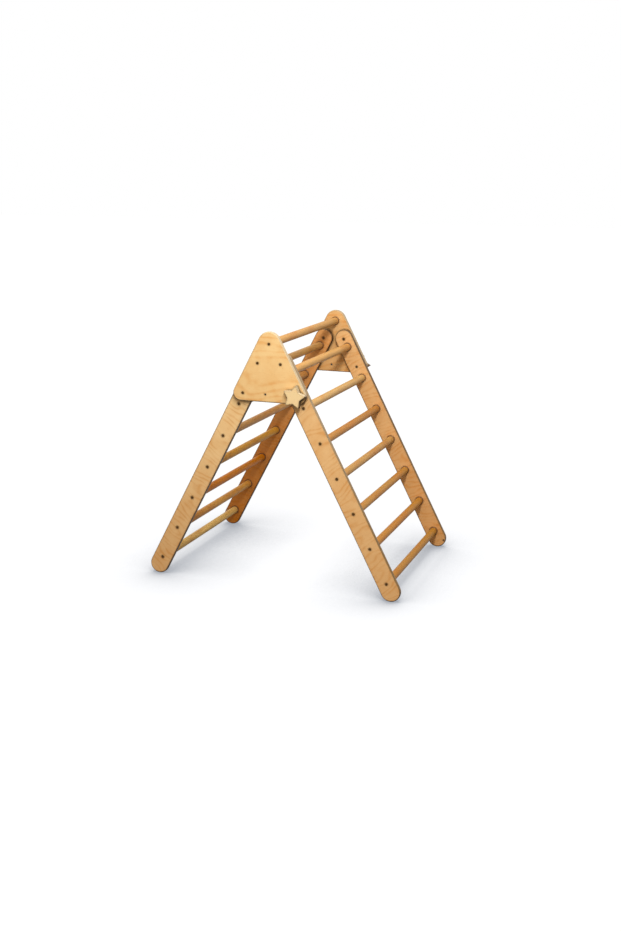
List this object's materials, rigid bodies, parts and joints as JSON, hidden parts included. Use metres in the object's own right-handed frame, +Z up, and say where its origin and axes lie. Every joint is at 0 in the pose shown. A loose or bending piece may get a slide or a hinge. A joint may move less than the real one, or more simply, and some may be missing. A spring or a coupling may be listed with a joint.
{
  "type": "folding climbing triangle",
  "caption": "Free-standing A-shaped climbing frame for small children: two rung ladders between plywood rails, hinged in corner plates, locked by star knobs",
  "frame": {"origin": "on the floor, at the middle of the footprint", "axes": "+X towards the swing ladder's feet, +Y along the rungs towards the far side, +Z up"},
  "size_m": [0.9628, 0.7734, 0.9244],
  "materials": {
    "plate_plywood": "rotary-cut birch plywood, clear satin lacquer, rounded edges",
    "rail_plywood": "rotary-cut birch plywood, clear satin lacquer, rounded edges",
    "rung_dowel": "turned beech dowel, clear satin lacquer",
    "star_plywood": "pale birch plywood, clear satin lacquer",
    "dark_steel": "dark bronzed steel",
    "zinc_steel": "zinc plated steel",
    "insert_brass": "turned brass",
    "slip_fibre": "natural nylon"
  },
  "bodies": {
    "fixed_frame": {"near_plate": "plate_plywood", "far_plate": "plate_plywood", "near_fixed_rail": "rail_plywood", "far_fixed_rail": "rail_plywood", "fixed_rung_1": "rung_dowel", "fixed_rung_2": "rung_dowel", "fixed_rung_3": "rung_dowel", "fixed_rung_4": "rung_dowel", "fixed_rung_5": "rung_dowel", "fixed_rung_6": "rung_dowel", "fixed_rung_7": "rung_dowel", "top_rung": "rung_dowel", "near_fixed_rung_screws": "dark_steel", "far_fixed_rung_screws": "dark_steel", "top_rung_screws": "dark_steel", "plate_bolts": "dark_steel", "plate_sleeve_nuts": "dark_steel", "pivot_bolts": "dark_steel", "pivot_barrels": "dark_steel", "slip_washers": "slip_fibre"},
    "swing_ladder": {"near_swing_rail": "rail_plywood", "far_swing_rail": "rail_plywood", "swing_rung_1": "rung_dowel", "swing_rung_2": "rung_dowel", "swing_rung_3": "rung_dowel", "swing_rung_4": "rung_dowel", "swing_rung_5": "rung_dowel", "swing_rung_6": "rung_dowel", "swing_rung_7": "rung_dowel", "near_swing_rung_screws": "dark_steel", "far_swing_rung_screws": "dark_steel", "lock_inserts": "insert_brass"},
    "near_lock_washer": {"near_lock_washer": "zinc_steel"},
    "near_lock_knob": {"near_star_knob": "star_plywood", "near_lock_stud": "zinc_steel"},
    "far_lock_washer": {"far_lock_washer": "zinc_steel"},
    "far_lock_knob": {"far_star_knob": "star_plywood", "far_lock_stud": "zinc_steel"}
  },
  "joints": [
    {"name": "fold", "type": "hinge", "parent": "fixed_frame", "child": "swing_ladder", "pos_m": [0.0423, 0, 0.81381], "axis": [0, 1, 0], "range_deg": [0, 54.8]},
    {"name": "near_knob_withdraw", "type": "slide", "parent": "fixed_frame", "child": "near_lock_washer", "axis": [0, -1, 0], "range_m": [0, 0.02]},
    {"name": "near_knob_turn", "type": "hinge", "parent": "near_lock_washer", "child": "near_lock_knob", "pos_m": [0.09785, -0.367, 0.70666], "axis": [0, -1, 0], "range_deg": [0, 7200]},
    {"name": "far_knob_withdraw", "type": "slide", "parent": "fixed_frame", "child": "far_lock_washer", "axis": [0, 1, 0], "range_m": [0, 0.02]},
    {"name": "far_knob_turn", "type": "hinge", "parent": "far_lock_washer", "child": "far_lock_knob", "pos_m": [0.09785, 0.367, 0.70666], "axis": [0, 1, 0], "range_deg": [0, 7200]}
  ],
  "couplings": [
    {"joint": "near_knob_turn", "follows": "near_knob_withdraw", "rad_per_m": 6283.2},
    {"joint": "far_knob_turn", "follows": "far_knob_withdraw", "rad_per_m": 6283.2}
  ]
}
